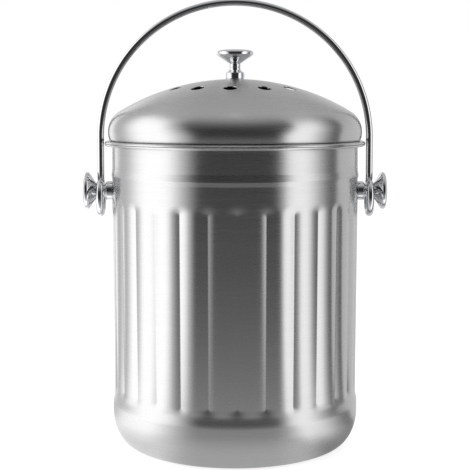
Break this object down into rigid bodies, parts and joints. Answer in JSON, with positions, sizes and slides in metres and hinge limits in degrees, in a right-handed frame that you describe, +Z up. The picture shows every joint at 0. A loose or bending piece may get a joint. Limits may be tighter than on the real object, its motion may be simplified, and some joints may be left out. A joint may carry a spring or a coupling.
{
  "type": "compost pail",
  "caption": "Fluted steel countertop compost pail with a lift-off domed lid, vent holes, a charcoal filter under the lid, turned knobs and a swinging wire bail.",
  "frame": {"origin": "middle of the flat base, on the surface the pail stands on", "axes": "+Z up along the pail's axis, X along the line through the two side knobs, -Y the front"},
  "size_m": [0.2146, 0.1832, 0.3127],
  "materials": {
    "pail_steel": "brushed round the wall, satin",
    "lid_steel": "brushed round the dome, satin",
    "knob_chrome": "polished chrome plate on a turned knob",
    "bail_chrome": "polished chrome plate on a bent rod",
    "fastener_steel": "plain zinc-bright steel",
    "seal_rubber": "soft black rubber",
    "filter_plastic": "moulded, fine satin grain",
    "charcoal_felt": "open carbon felt"
  },
  "bodies": {
    "pail": {"pail_shell": "pail_steel", "knob_left": "knob_chrome", "knob_right": "knob_chrome", "seal_washer_left": "seal_rubber", "seal_washer_right": "seal_rubber", "flat_washer_left": "fastener_steel", "flat_washer_right": "fastener_steel", "lock_washer_left": "fastener_steel", "lock_washer_right": "fastener_steel", "knob_screw_left": "fastener_steel", "knob_screw_right": "fastener_steel"},
    "bail": {"bail": "bail_chrome"},
    "lid": {"lid_shell": "lid_steel", "lid_skirt_ring": "lid_steel", "lid_knob": "knob_chrome", "lid_flat_washer": "fastener_steel", "lid_lock_washer": "fastener_steel", "lid_screw": "fastener_steel", "filter_housing": "filter_plastic"},
    "filter_cover": {"filter_cover": "filter_plastic", "charcoal_filter": "charcoal_felt"}
  },
  "joints": [
    {"name": "bail_swing", "type": "hinge", "parent": "pail", "child": "bail", "pos_m": [0, 0, 0.17335], "axis": [1, 0, 0], "range_deg": [-138, 138]},
    {"name": "lid_lift", "type": "slide", "parent": "pail", "child": "lid", "axis": [0, 0, 1], "range_m": [0, 0.013]},
    {"name": "cover_drop", "type": "slide", "parent": "lid", "child": "filter_cover", "axis": [0, 0, -1], "range_m": [0, 0.016]}
  ]
}
